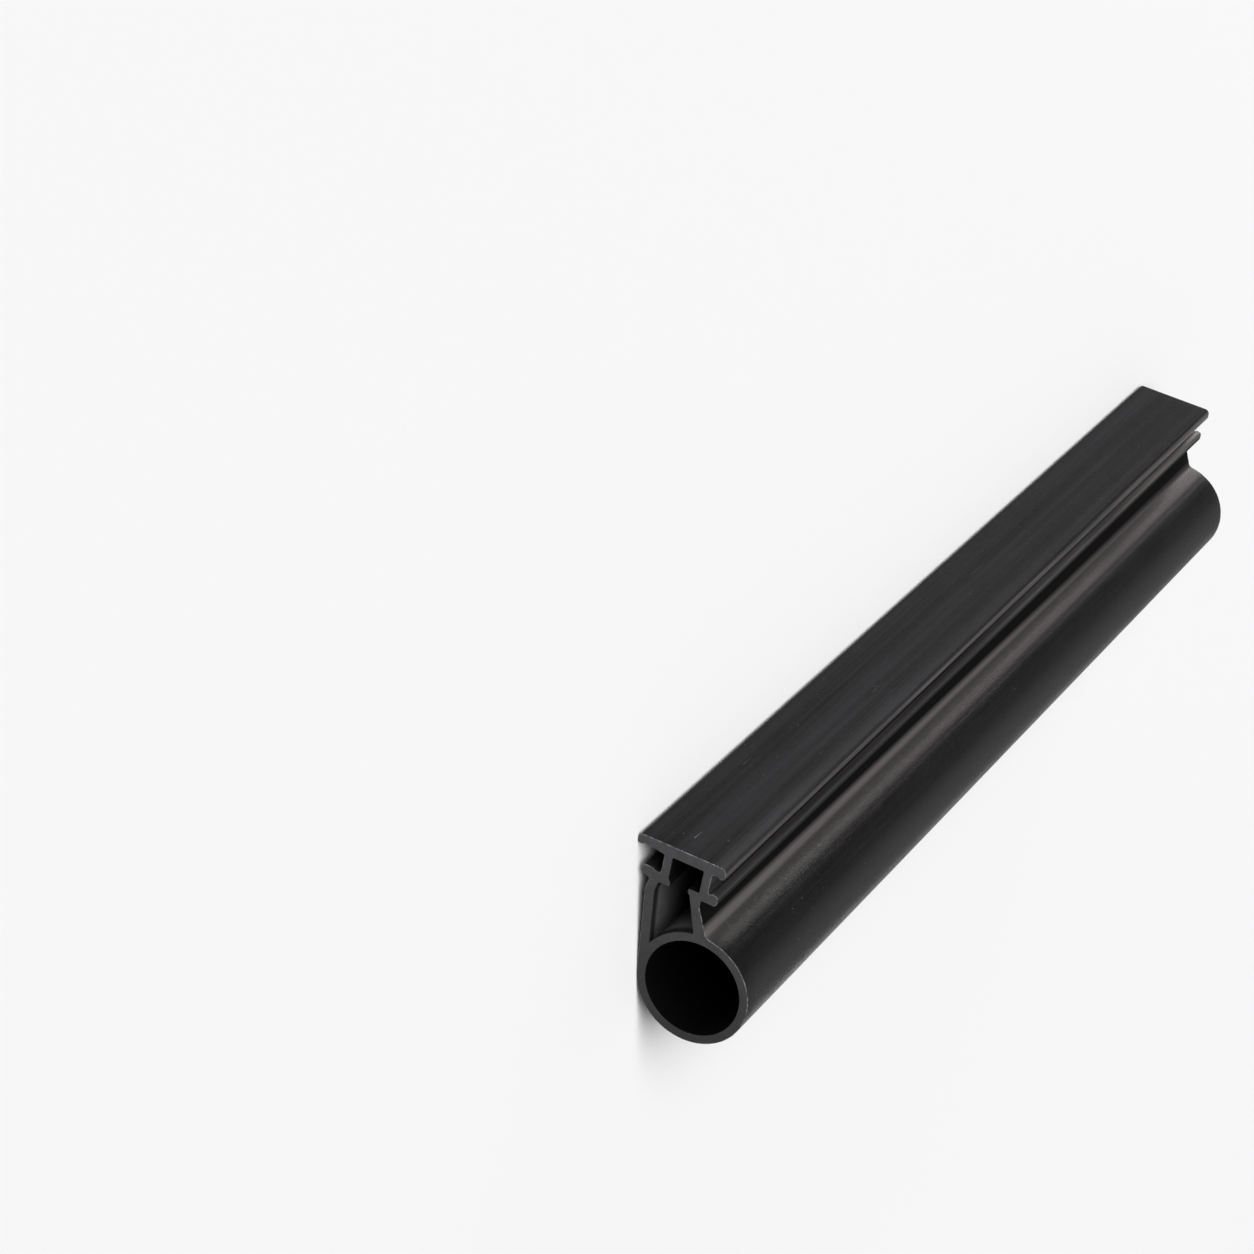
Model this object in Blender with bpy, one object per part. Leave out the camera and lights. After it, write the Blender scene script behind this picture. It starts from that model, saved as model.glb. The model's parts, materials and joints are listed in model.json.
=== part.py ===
"""A cut length of extruded rubber door weatherstrip, one solid with its length along Y.

The profile is drawn upright in the XZ plane, seen from its near end at -Y, with the centre of
the bulb at (0, 0): a hollow round bulb, two legs, two ledges with barbs, and two webs that
carry a broad flange. It is then laid on its left side, as it comes to rest on a level floor,
with the origin under the middle of its box. Sizes are in metres.
"""

from math import acos, atan2, cos, pi, radians, sin, tan

import bmesh
import bpy
from mathutils import Vector

LENGTH = 0.320

# The bulb that the door closes on
BULB_RADIUS = 0.0140
BULB_WALL = 0.0022

# The flange, and how far it reaches past the webs
HEAD_HEIGHT = 0.0331
HEAD_SHIFT = -0.0011
FLANGE_THICKNESS = 0.0028
FLANGE_LEFT_EDGE = 0.0022
FLANGE_RIGHT_EDGE = 0.0026
FLANGE_LEFT_OVERHANG = 0.0070
FLANGE_RIGHT_OVERHANG = 0.0032

# The bead along each edge of the flange, which hooks down a little
BEAD_WIDTH = 0.0018
BEAD_HOOK = 0.0004
BEAD_TOP_ROUNDING = 0.0015
BEAD_HOOK_ROUNDING = 0.0007

# The webs, the channel between them, and the slots outside them
WEB_THICKNESS = 0.0021
CHANNEL_WIDTH = 0.0078
SLOT_HEIGHT = 0.0049

# The ledges below the slots, each with a raised lip along its outer edge
LEDGE_THICKNESS = 0.0026
LEFT_LEDGE_OVERHANG = 0.0044
LEFT_LEDGE_RISE = 0.0012
RIGHT_LEDGE_OVERHANG = 0.0026
LEFT_LIP_HEIGHT = 0.0005
LEFT_LIP_WIDTH = 0.0024
RIGHT_LIP_HEIGHT = 0.0003
RIGHT_LIP_WIDTH = 0.0016

# The barbs that narrow the mouth of the channel
LEFT_BARB = 0.0006
RIGHT_BARB = 0.0027
BARB_HEIGHT = 0.0010
RIGHT_BARB_DROP = 0.0009

# The left leg, which leaves the bulb along a tangent and turns in at its shoulder
LEFT_LEG_THICKNESS = 0.0024
LEFT_LEG_OFFSET = 0.0024
LEFT_SHOULDER_DROP = 0.0029
LEFT_SHOULDER_BULGE = 0.0006

# The right leg, which spreads towards its foot on the bulb
RIGHT_LEG_INSET = 0.0013
RIGHT_LEG_TOP_THICKNESS = 0.0029
RIGHT_KNEE_DROP = 0.0019
RIGHT_FOOT_INNER = -0.0025
RIGHT_FOOT_OUTER = 0.0008

# Roundings
SHARP = 0.0
CORNER_ROUNDING = 0.0003
LEDGE_ROUNDING = 0.0009
WEB_FILLET = 0.0005
LEG_FILLET = 0.0020
FOOT_FILLET = 0.0016
BULB_STEP = radians(2.5)
FILLET_STEPS = 6
FILLET_SHARE = 0.48

RUBBER_COLOUR = (0.043, 0.043, 0.045, 1.0)
RUBBER_ROUGHNESS = 0.5
SMOOTH_ANGLE = radians(30)


def clear_scene():
    for thing in list(bpy.data.objects):
        bpy.data.objects.remove(thing, do_unlink=True)


def rubber():
    material = bpy.data.materials.new("rubber")
    material.use_nodes = True
    shader = material.node_tree.nodes["Principled BSDF"]
    shader.inputs["Base Color"].default_value = RUBBER_COLOUR
    shader.inputs["Roughness"].default_value = RUBBER_ROUGHNESS
    shader.inputs["Metallic"].default_value = 0.0
    return material


def on_circle(radius, angle, centre=(0.0, 0.0)):
    return Vector((centre[0] + radius * cos(angle), centre[1] + radius * sin(angle)))


def arc(radius, start, end, steps, centre=(0.0, 0.0)):
    """Points from angle start to angle end, both included."""
    turns = [start + (end - start) * i / steps for i in range(steps + 1)]
    return [on_circle(radius, turn, centre) for turn in turns]


def bulb_arc(radius, start, end):
    steps = max(2, round(abs(end - start) / BULB_STEP))
    return arc(radius, start, end, steps)


def short_arc(radius, centre, first, last):
    """The shorter way round from the direction first to the direction last."""
    start = atan2(first.y, first.x)
    sweep = (atan2(last.y, last.x) - start + pi) % (2 * pi) - pi
    return arc(radius, start, start + sweep, FILLET_STEPS, centre)


def fillet(before, corner, after, radius):
    """The corner as an arc that touches both of its sides."""
    if radius == SHARP:
        return [corner]
    back = before - corner
    ahead = after - corner
    half = back.angle(ahead) / 2
    reach = min(radius / tan(half), FILLET_SHARE * back.length, FILLET_SHARE * ahead.length)
    radius = reach * tan(half)
    inward = (back.normalized() + ahead.normalized()).normalized()
    middle = corner + inward * radius / sin(half)
    first = corner + back.normalized() * reach - middle
    last = corner + ahead.normalized() * reach - middle
    return short_arc(radius, middle, first, last)


def rounded_path(corners):
    """An open line through corners (x, z, rounding), its two ends left as they are."""
    spots = [Vector(corner[:2]) for corner in corners]
    path = [spots[0]]
    for i in range(1, len(spots) - 1):
        path += fillet(spots[i - 1], spots[i], spots[i + 1], corners[i][2])
    return path + [spots[-1]]


def meets_circle(start, direction, radius):
    """Where a straight line from outside the bulb first meets a circle about its centre."""
    along = direction.dot(start)
    inside = along ** 2 - start.length_squared + radius ** 2
    return start - direction * (along + inside ** 0.5)


def shared_lines():
    """The heights and the side faces that both outlines use."""
    under_flange = HEAD_HEIGHT - FLANGE_THICKNESS
    ledge_top = under_flange - SLOT_HEIGHT
    right_web = HEAD_SHIFT
    left_web = right_web - 2 * WEB_THICKNESS - CHANNEL_WIDTH
    return {
        "under_flange": under_flange,
        "under_left_edge": HEAD_HEIGHT - FLANGE_LEFT_EDGE,
        "under_right_edge": HEAD_HEIGHT - FLANGE_RIGHT_EDGE,
        "ledge_top": ledge_top,
        "left_lip_top": ledge_top + LEFT_LIP_HEIGHT,
        "right_lip_top": ledge_top + RIGHT_LIP_HEIGHT,
        "ledge_bottom": ledge_top - LEDGE_THICKNESS,
        "right_web": right_web,
        "left_web": left_web,
        "flange_left": left_web - FLANGE_LEFT_OVERHANG,
        "flange_right": right_web + FLANGE_RIGHT_OVERHANG,
        "ledge_left": left_web - LEFT_LEDGE_OVERHANG,
        "ledge_right": right_web + RIGHT_LEDGE_OVERHANG,
        "left_leg": left_web - LEFT_LEG_OFFSET,
        "right_leg": right_web - RIGHT_LEG_INSET,
    }


def left_leg_lines(at):
    """The outer shoulder, the angle where the leg leaves the bulb, and the inner side's ends."""
    shoulder = Vector((
        at["left_leg"] - LEFT_SHOULDER_BULGE,
        at["ledge_bottom"] - LEFT_SHOULDER_DROP,
    ))
    graze = atan2(shoulder.y, shoulder.x) + acos(BULB_RADIUS / shoulder.length)
    down = (on_circle(BULB_RADIUS, graze) - shoulder).normalized()
    inner_shoulder = shoulder + Vector((-down.y, down.x)) * LEFT_LEG_THICKNESS
    inner_foot = meets_circle(inner_shoulder, down, BULB_RADIUS)
    return shoulder, graze, inner_shoulder, inner_foot


def right_leg_foot(at):
    """The fillet between the right leg's outer side and the bulb, and its angle on the bulb."""
    knee = Vector((at["right_leg"], at["ledge_bottom"] - RIGHT_KNEE_DROP))
    foot = on_circle(BULB_RADIUS, acos(RIGHT_FOOT_OUTER / BULB_RADIUS))
    down = (foot - knee).normalized()
    outward = Vector((-down.y, down.x))
    middle = meets_circle(knee + outward * FOOT_FILLET, down, BULB_RADIUS + FOOT_FILLET)
    return short_arc(FOOT_FILLET, middle, -outward, -middle), atan2(middle.y, middle.x)


def outer_outline(at):
    """Clockwise: up the left leg, over the head, down the right leg and round the bulb."""
    shoulder, graze, _, _ = left_leg_lines(at)
    foot_points, foot_angle = right_leg_foot(at)
    bead_left = at["flange_left"] + BEAD_WIDTH
    bead_right = at["flange_right"] - BEAD_WIDTH
    lip_left = at["ledge_left"] + LEFT_LIP_WIDTH
    lip_right = at["ledge_right"] - RIGHT_LIP_WIDTH
    left_hook = at["under_left_edge"] - BEAD_HOOK
    right_hook = at["under_right_edge"] - BEAD_HOOK
    head = rounded_path([
        (*on_circle(BULB_RADIUS, graze), SHARP),
        (*shoulder, LEG_FILLET),
        (at["left_leg"], at["ledge_bottom"], WEB_FILLET),
        (at["ledge_left"], at["ledge_bottom"] + LEFT_LEDGE_RISE, LEDGE_ROUNDING),
        (at["ledge_left"], at["left_lip_top"], CORNER_ROUNDING),
        (lip_left, at["left_lip_top"], CORNER_ROUNDING),
        (lip_left + LEFT_LIP_HEIGHT, at["ledge_top"], CORNER_ROUNDING),
        (at["left_web"], at["ledge_top"], WEB_FILLET),
        (at["left_web"], at["under_flange"], WEB_FILLET),
        (bead_left, at["under_left_edge"], CORNER_ROUNDING),
        (bead_left - CORNER_ROUNDING, left_hook, CORNER_ROUNDING),
        (at["flange_left"], left_hook, BEAD_HOOK_ROUNDING),
        (at["flange_left"], HEAD_HEIGHT, BEAD_TOP_ROUNDING),
        (at["flange_right"], HEAD_HEIGHT, BEAD_TOP_ROUNDING),
        (at["flange_right"], right_hook, BEAD_HOOK_ROUNDING),
        (bead_right + CORNER_ROUNDING, right_hook, CORNER_ROUNDING),
        (bead_right, at["under_right_edge"], CORNER_ROUNDING),
        (at["right_web"], at["under_flange"], WEB_FILLET),
        (at["right_web"], at["ledge_top"], WEB_FILLET),
        (lip_right - RIGHT_LIP_HEIGHT, at["ledge_top"], CORNER_ROUNDING),
        (lip_right, at["right_lip_top"], CORNER_ROUNDING),
        (at["ledge_right"], at["ledge_top"], LEDGE_ROUNDING),
        (at["ledge_right"], at["ledge_bottom"], LEDGE_ROUNDING),
        (at["right_leg"], at["ledge_bottom"], WEB_FILLET),
        (at["right_leg"], at["ledge_bottom"] - RIGHT_KNEE_DROP, LEG_FILLET),
        (*foot_points[0], SHARP),
    ])
    bulb = bulb_arc(BULB_RADIUS, foot_angle, graze - 2 * pi)
    return head + foot_points[1:] + bulb[1:-1]


def cavity_outline(at):
    """Clockwise: up the left leg's inner side, round the channel, and back along the bulb."""
    _, _, inner_shoulder, inner_foot = left_leg_lines(at)
    channel_left = at["left_web"] + WEB_THICKNESS
    channel_right = at["right_web"] - WEB_THICKNESS
    left_nose = channel_left + LEFT_BARB
    right_nose = channel_right - RIGHT_BARB
    leg_top = at["right_leg"] - RIGHT_LEG_TOP_THICKNESS
    barb_top = at["ledge_top"] - RIGHT_BARB_DROP
    foot_angle = acos(RIGHT_FOOT_INNER / BULB_RADIUS)
    walls = rounded_path([
        (*inner_foot, SHARP),
        (*inner_shoulder, LEG_FILLET),
        (at["left_leg"] + LEFT_LEG_THICKNESS, at["ledge_bottom"], CORNER_ROUNDING),
        (left_nose, at["ledge_bottom"], WEB_FILLET),
        (left_nose, at["ledge_bottom"] + BARB_HEIGHT, CORNER_ROUNDING),
        (channel_left, at["ledge_top"] - LEFT_BARB, CORNER_ROUNDING),
        (channel_left, at["under_flange"], CORNER_ROUNDING),
        (channel_right, at["under_flange"], CORNER_ROUNDING),
        (channel_right, barb_top, CORNER_ROUNDING),
        (right_nose, barb_top, CORNER_ROUNDING),
        (right_nose, barb_top - BARB_HEIGHT, CORNER_ROUNDING),
        (leg_top, at["ledge_bottom"], CORNER_ROUNDING),
        (*on_circle(BULB_RADIUS, foot_angle), SHARP),
    ])
    floor = bulb_arc(BULB_RADIUS, foot_angle, atan2(inner_foot.y, inner_foot.x))
    return walls + floor[1:-1]


def bore_outline():
    return bulb_arc(BULB_RADIUS - BULB_WALL, 0.0, 2 * pi)[:-1]


def resting_lean(outline):
    """How far the floor's line, laid against the bulb's left side, leans out to the head."""
    head = [spot for spot in outline if spot.y > BULB_RADIUS]
    return max(acos(BULB_RADIUS / spot.length) - atan2(spot.y, -spot.x) for spot in head)


def extruded(name, outlines, length):
    """One closed mesh: the first outline with the others as holes, drawn out along Y."""
    shape = bmesh.new()
    for outline in outlines:
        corners = [shape.verts.new((x, -length / 2, z)) for x, z in outline]
        for first, second in zip(corners, corners[1:] + corners[:1]):
            shape.edges.new((first, second))
    bmesh.ops.triangle_fill(shape, edges=shape.edges[:], use_beauty=True)
    drawn = bmesh.ops.extrude_face_region(shape, geom=shape.faces[:])["geom"]
    far_end = [part for part in drawn if isinstance(part, bmesh.types.BMVert)]
    bmesh.ops.translate(shape, vec=(0.0, length, 0.0), verts=far_end)
    bmesh.ops.recalc_face_normals(shape, faces=shape.faces[:])
    mesh = bpy.data.meshes.new(name)
    shape.to_mesh(mesh)
    shape.free()
    mesh.shade_smooth()
    mesh.set_sharp_from_angle(angle=SMOOTH_ANGLE)
    strip = bpy.data.objects.new(name, mesh)
    bpy.context.collection.objects.link(strip)
    return strip


def lay_down(strip, outline, roll):
    """Turns the strip onto its left side and sets the origin under the middle of its box."""
    across = [x * cos(roll) - z * sin(roll) for x, z in outline]
    upward = [x * sin(roll) + z * cos(roll) for x, z in outline]
    strip.rotation_euler = (0.0, -roll, 0.0)
    strip.location = (-(min(across) + max(across)) / 2, 0.0, -min(upward))


def main():
    clear_scene()
    at = shared_lines()
    outline = outer_outline(at)
    strip = extruded("weatherstrip", [outline, cavity_outline(at), bore_outline()], LENGTH)
    strip.data.materials.append(rubber())
    lay_down(strip, outline, pi / 2 - resting_lean(outline))


main()
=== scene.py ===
"""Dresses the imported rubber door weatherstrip: its skin, its cut ends, its burrs and the studio."""

import json
from collections import namedtuple
from math import cos, pi, radians, sin, tan

import bmesh
import bpy
from bpy.props import FloatProperty, FloatVectorProperty, PointerProperty
from mathutils import Matrix, Vector, noise


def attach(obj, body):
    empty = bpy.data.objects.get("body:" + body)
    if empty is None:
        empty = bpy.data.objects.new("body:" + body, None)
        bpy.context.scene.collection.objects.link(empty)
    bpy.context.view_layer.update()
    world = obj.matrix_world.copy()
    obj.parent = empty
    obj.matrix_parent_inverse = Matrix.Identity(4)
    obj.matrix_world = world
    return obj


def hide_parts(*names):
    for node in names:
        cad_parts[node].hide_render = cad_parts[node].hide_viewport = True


bl_info = {
    "name": "Rubber door weatherstrip",
    "version": (1, 0, 0),
    "blender": (4, 5, 0),
    "location": "3D View > Sidebar > Weatherstrip",
    "description": "Builds a cut length of extruded rubber door weatherstrip with its studio",
    "category": "Object",
}

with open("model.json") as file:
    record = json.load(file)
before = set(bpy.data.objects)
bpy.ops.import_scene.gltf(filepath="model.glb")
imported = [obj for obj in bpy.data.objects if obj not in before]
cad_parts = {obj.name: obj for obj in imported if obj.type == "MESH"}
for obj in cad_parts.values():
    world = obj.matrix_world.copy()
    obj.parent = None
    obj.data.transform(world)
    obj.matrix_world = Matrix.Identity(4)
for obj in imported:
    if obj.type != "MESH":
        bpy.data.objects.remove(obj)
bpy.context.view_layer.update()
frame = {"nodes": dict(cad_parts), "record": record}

NODE = "weatherstrip"
BODY = "root"
MM = 0.001

# The strip's own directions and ends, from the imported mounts
MOUNTS = {mount["name"]: mount for mount in frame["record"]["mounts"]}
SECTION_UP = Vector(MOUNTS["flange_face"]["axis"]).normalized()
SECTION_RIGHT = Vector(MOUNTS["right_slot"]["axis"]).normalized()
ALONG = Vector((0, 1, 0))
NEAR_END = MOUNTS["near_end"]["pos_m"][1]
FAR_END = MOUNTS["far_end"]["pos_m"][1]

# Places on the section, to the right and up
FLANGE_CENTRE = Vector(MOUNTS["flange_face"]["pos_m"])
FLANGE_LEVEL = FLANGE_CENTRE.dot(SECTION_UP)
LEDGE_LEVEL = FLANGE_LEVEL - 0.012
BULB_MARK_LEVEL = FLANGE_LEVEL - 0.0200
SECTION_HEIGHT = 0.047
BULB_RADIUS = 0.014
BULB_RIGHT = FLANGE_CENTRE.dot(SECTION_RIGHT) + 0.00892
BULB_UP = FLANGE_LEVEL - 0.0331
BULB_TOP = BULB_UP + BULB_RADIUS

# The flat ramp from the bulb to the right leg's foot
RAMP_START = radians(76.5)
RAMP_END = 0.0002
RAMP_LOWEST = 0.9 * BULB_RADIUS

# The flange's broad face: how deep it reaches, and how squarely it faces up
FACE_DEPTH = 0.001
FACE_UPRIGHT = 0.82

# The recess by the right leg, where painted shade goes: its place from the bulb's centre, and how squarely
# it faces right
RECESS_RIGHT = (-0.003, 0.0012)
RECESS_UP = (BULB_RADIUS + 0.0003, 0.0232)
RECESS_SIDEWAYS = 0.3

# How the section is read and refined
MERGE_DISTANCE = 1e-6
EDGE_STEPS = 4
HOLE_COARSENESS = 2

# How fast the hollows change across and along the strip, and the die lines round and along it
HOLLOW_PACE = (90, 16)
DIE_LINE_PACE = (900, 3)
DIE_LINE_SEED = 7.3
DIE_LINE_GAIN = 4

# The strip's finishes, and those of the outlines' walls: the outside, then the holes from the largest down
SKIN, FACE, RECESS, CUT, RIM, BORE, CAVITY = range(7)
WALLS = (SKIN, BORE, CAVITY)

# Scratches: start and end (to the right of the flange's middle, in from the near end) in mm,
# half the width in mm, and strength
FLANGE_MARKS = (
    ((-0.5, 6.8), (-0.3, 11.2), 0.16, 1.0),
    ((5.9, 10.8), (6.0, 12.4), 0.12, 0.5),
    ((-6.1, 43.0), (-5.9, 47.5), 0.10, 0.4),
    ((3.2, 96.0), (3.0, 103.0), 0.10, 0.35),
    ((-2.4, 171.0), (-2.1, 182.0), 0.10, 0.3),
)
BULB_MARKS = (
    ((10.0, 9.95), (11.3, 8.9), 0.10, 0.75),
    ((11.2, 9.0), (12.9, 7.0), 0.10, 0.75),
    ((14.5, 33.0), (14.9, 36.5), 0.09, 0.25),
)

# How far a scratch reaches up and down from its level, and where it starts to fade:
# across it as a share of its width, and along it as a share of its length
MARK_DEPTH = (0.0030, 0.0036)
MARK_CORE = 0.4
MARK_HEAD = 0.1

# Burrs on the near cut: to the right, in from the near end, up from the flange's face, length, in mm
BURRS = (
    (-0.22, 0.28, -0.04, 0.55),
    (7.75, 0.26, -0.05, 0.62),
    (8.66, 0.26, -0.06, 0.42),
    (-9.6, 0.30, -0.35, 0.32),
    (2.9, 0.30, -0.06, 0.26),
)

# How the burrs are made of balls: their detail, how rough they are and how finely,
# and their height and depth as shares of their length
BURR_DETAIL = 2
BURR_ROUGHNESS = 0.45
BURR_PACE = 9000
BURR_SEED = 5.1
BURR_HEIGHT = 0.35
BURR_DEPTH = 0.45

# Noise patterns: how the coordinates are scaled, and the noise's own values
Pattern = namedtuple("Pattern", "stretch scale detail roughness")
EVEN = (1.0, 1.0, 1.0)
BROAD_LINES = Pattern((1.0, 0.008, 1.0), 330.0, 4.0, 0.6)
FINE_LINES = Pattern((1.0, 0.008, 1.0), 2300.0, 3.0, 0.6)
SMUDGES = Pattern((1.0, 0.30, 1.0), 85.0, 5.0, 0.6)
SKIN_GRAIN = Pattern((1.0, 0.45, 1.0), 4200.0, 3.0, 0.65)
CROSS_STROKES = Pattern((0.3, 1.0, 0.3), 2400.0, 2.0, 0.5)
INNER_LINES = Pattern((1.0, 0.012, 1.0), 1500.0, 3.0, 0.6)
INNER_SMUDGES = Pattern(EVEN, 160.0, 3.0, 0.5)
CUT_GRAIN = Pattern(EVEN, 2600.0, 3.0, 0.6)
CUT_BLOTCHES = Pattern(EVEN, 320.0, 3.0, 0.5)
FRAY = Pattern(EVEN, 800.0, 3.0, 0.6)
CRUMB_GRAIN = Pattern(EVEN, 6000.0, 2.0, 0.6)

# The middle part of a noise that a tone is taken from; a narrow one gives a strong contrast
FAINT = (0.3, 0.7)
MEDIUM = (0.35, 0.65)
CLEAR = (0.38, 0.62)
SHARP = (0.40, 0.60)
FRAYED_AND_GLINT = (0.42, 0.62)

# Small round spots: how many, how large, and how dusty
Spots = namedtuple("Spots", "scale size dust")
SPECKS = Spots(300.0, 0.045, 0.8)
FINE_SPECKS = Spots(900.0, 0.07, 0.3)
CUT_PITS = Spots(620.0, 0.09, 0.35)
SPOT_CORE = 0.6

# Reliefs: depth and strength; the broad lines' strength comes from the finish
FINE_RELIEF = (0.00004, 0.4)
BROAD_RELIEF_DEPTH = 0.0002
GRAIN_RELIEF = (0.00006, 0.8)
STROKE_RELIEF = (0.00004, 0.6)
SCRATCH_RELIEF = (-0.0001, 1.0)
INNER_RELIEF = (0.00006, 0.5)
CUT_RELIEF = (0.00008, 0.6)

# The extruded finishes: scratches and their level, lowest and highest roughness,
# how far the tone swings, how dusty the rubber is, and how strongly it mirrors
Finish = namedtuple("Finish", "name marks level matte streaks tint specular")
SKIN_FINISH = Finish("extruded_skin", BULB_MARKS, BULB_MARK_LEVEL, (0.30, 0.38), 0.25, 1.0, 0.42)
FACE_FINISH = Finish("flange_face", FLANGE_MARKS, FLANGE_LEVEL, (0.44, 0.68), 0.70, 1.6, 0.06)
LIGHT_SWING = 1.6

# Shares of the broad lines, the fine lines and the smudges in the skin's tone and in its roughness
TONE_SHARES = (0.45, 0.25, 0.30)
GLOSS_SHARES = (0.3, 0.3, 0.4)

# The dull finishes inside the strip: lowest and highest roughness, and how strongly they mirror
Dull = namedtuple("Dull", "name matte specular")
RECESS_FINISH = Dull("leg_recess_rubber", (0.6, 0.75), 0.1)
BORE_FINISH = Dull("bulb_bore_rubber", (0.75, 0.9), 0.05)
LEG_SPACE_FINISH = Dull("leg_space_rubber", (0.6, 0.75), 0.15)

# The tone of the painted highlight at the leg's foot, how far the bore's and the leg space's tones swing,
# and the shares of the lines and the smudges in the leg space
FOOT_TONE = 0.60
BORE_SWING = 0.3
LEG_SPACE_SWING = 0.2
LEG_SPACE_SHARES = (0.4, 0.6)

# Soft borders of the skin's zones, up from the flange's face
LEG_FROM = (-0.0175, -0.0170)
LEG_TO = (-0.0090, -0.0080)
SLOT_TO = (-0.0026, -0.0018)
LIP_FROM = (-0.0034, -0.0028)
LIP_TO = (-0.0012, -0.0008)
EDGE_FROM = (-0.0008, -0.0004)

# Soft borders of the skin's zones, to the right of the bulb's centre and up from it, and the strength of
# the painted highlight on the ramp
SLOT_RIGHT = (-0.004, -0.003)
EDGE_RIGHT = (-0.0015, 0.0004)
LIP_RIGHT = (0.0016, 0.0020)
RAMP_RIGHT = (0.0008, 0.0034)
RAMP_FROM = (0.0135, 0.0139)
RAMP_TO = (0.0152, 0.0158)
RAMP_HIGHLIGHT = 0.35

# Changes along the strip: from, to, and the values there
LIP_SPREAD = (-0.05, 0.15, 0.0, 0.0005)
# The lip's pale tone is wear and a painted highlight, stronger towards the far end as painted light
LIP_WEAR_AND_SHEEN = (0.05, 0.16, 1.0, 1.6)
# The slot's pale warm tone: dust and painted light, growing towards the far end
SLOT_DUST_AND_LIGHT = (-0.02, 0.16, 0.15, 0.65)
# A painted sheen on the flange's right edge, fading out from the near end
EDGE_SHEEN = (NEAR_END, 0.10, 0.13, 0.0)
DULLING = (NEAR_END, FAR_END, -0.03, 0.07)
# The painted highlight at the leg's foot: how much higher it reaches near the cut, and its strength along
# the strip
FOOT_REACH = (NEAR_END, 0.06, 0.0013, 0.0)
FOOT_HIGHLIGHT = (0.0, 0.14, 1.0, 0.4)
# Painted light in the leg space, dark in the first few mm from the cut
LEG_SPACE_LIGHT = (NEAR_END + 0.002, NEAR_END + 0.0035, 0.12, 1.0)

# What the fine lines and the strokes change: the values at their darkest and lightest
LIP_LINES = (0.10, 0.42)
SLOT_LINES = (0.55, 1.0)
FOOT_LINES = (0.8, 1.0)
STROKE_GLOSS = (-0.04, 0.04)

# Painted shade along the leg: its tone, and how much rougher it is
LEG_SHADE = 0.4
LEG_DULLING = 0.3

# The cut face: its painted shading, dark at the bulb's bottom and light at the flange, how far it swings,
# and its roughness
CUT_TONES = (0.36, 1.40)
CUT_SWING = 0.16
CUT_MATTE = (0.62, 0.8)

# The knife's edge: the tone of its rubber and its paler tone, which is frayed rubber with a painted
# highlight, and its roughness
RIM_TONES = (1.2, 1.1)
RIM_MATTE = (0.4, 0.6)

# The crumbs: their darkest and lightest tone, and their roughness
CRUMB_TONES = (0.9, 1.9)
CRUMB_MATTE = 0.6

# Painted light that fades out: the highlight up from the leg's foot, and the light up from the ledge in the
# leg space
FOOT_FADE = (0.0004, 0.0018)
LEDGE_FADE = (-0.0015, 0.0005)

# How bright the air is, from the flange's side (-1) to the bulb's side (1)
SKY_LEVELS = (
    (-0.99, 0.05),
    (-0.3, 0.02),
    (-0.1, 0.04),
    (0.2, 0.31),
    (0.45, 0.33),
    (0.62, 0.20),
    (0.99, 0.12),
)

# The lights: directions are to the right, along the strip and up
SUN_DIRECTION = (0.75, -0.45, 0.6)
SUN_STRENGTH = 3.5
SUN_ANGLE = radians(60)
PANEL_DIRECTION = (0.0, 0.83, 0.55)
PANEL_DISTANCE = 1.2
PANEL_SIZE = (0.9, 0.08)
PANEL_POWER = 2.1
PANEL_COLOUR = (1.0, 0.91, 0.89)

# The floor: a round sheet
FLOOR_RADIUS = 12.0
FLOOR_SIDES = 96
FLOOR_MATTE = 0.9
FLOOR_SPECULAR = 0.1

# The camera, in the part's frame
CAMERA_PLACE = Vector((-0.3996, -0.7929, 0.3244))
CAMERA_LOOK = Vector((0.41502, 0.80810, -0.41800))
CAMERA_TOP = Vector((-0.90978, 0.36479, -0.19805))
CAMERA_LENS = 103.85
CAMERA_SENSOR = 36.0
CAMERA_CLIP = (0.01, 50.0)


class StripSizes(bpy.types.PropertyGroup):
    """Sizes of the dressed strip."""

    spacing: FloatProperty(
        name="Section spacing",
        description="Largest distance between points round the section",
        default=0.00035,
        subtype="DISTANCE",
        unit="LENGTH",
    )
    station: FloatProperty(
        name="Length spacing",
        description="Distance between rings along the strip",
        default=0.005,
        subtype="DISTANCE",
        unit="LENGTH",
    )
    edge_round: FloatProperty(
        name="Cut edge rounding",
        description="Radius left where the knife leaves the rubber",
        default=0.00016,
        subtype="DISTANCE",
        unit="LENGTH",
    )
    end_inset: FloatProperty(
        name="End inset",
        description="How far the cut faces lie inside the solid's ends, which leaves room for burrs",
        default=0.0002,
        subtype="DISTANCE",
        unit="LENGTH",
    )
    waviness: FloatProperty(
        name="Waviness",
        description="Depth of the slow hollows that cooling leaves in the rubber",
        default=0.00006,
        subtype="DISTANCE",
        unit="LENGTH",
    )
    die_line: FloatProperty(
        name="Die line depth",
        description="Depth of the lines that the die draws along the strip",
        default=0.000012,
        subtype="DISTANCE",
        unit="LENGTH",
    )


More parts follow.
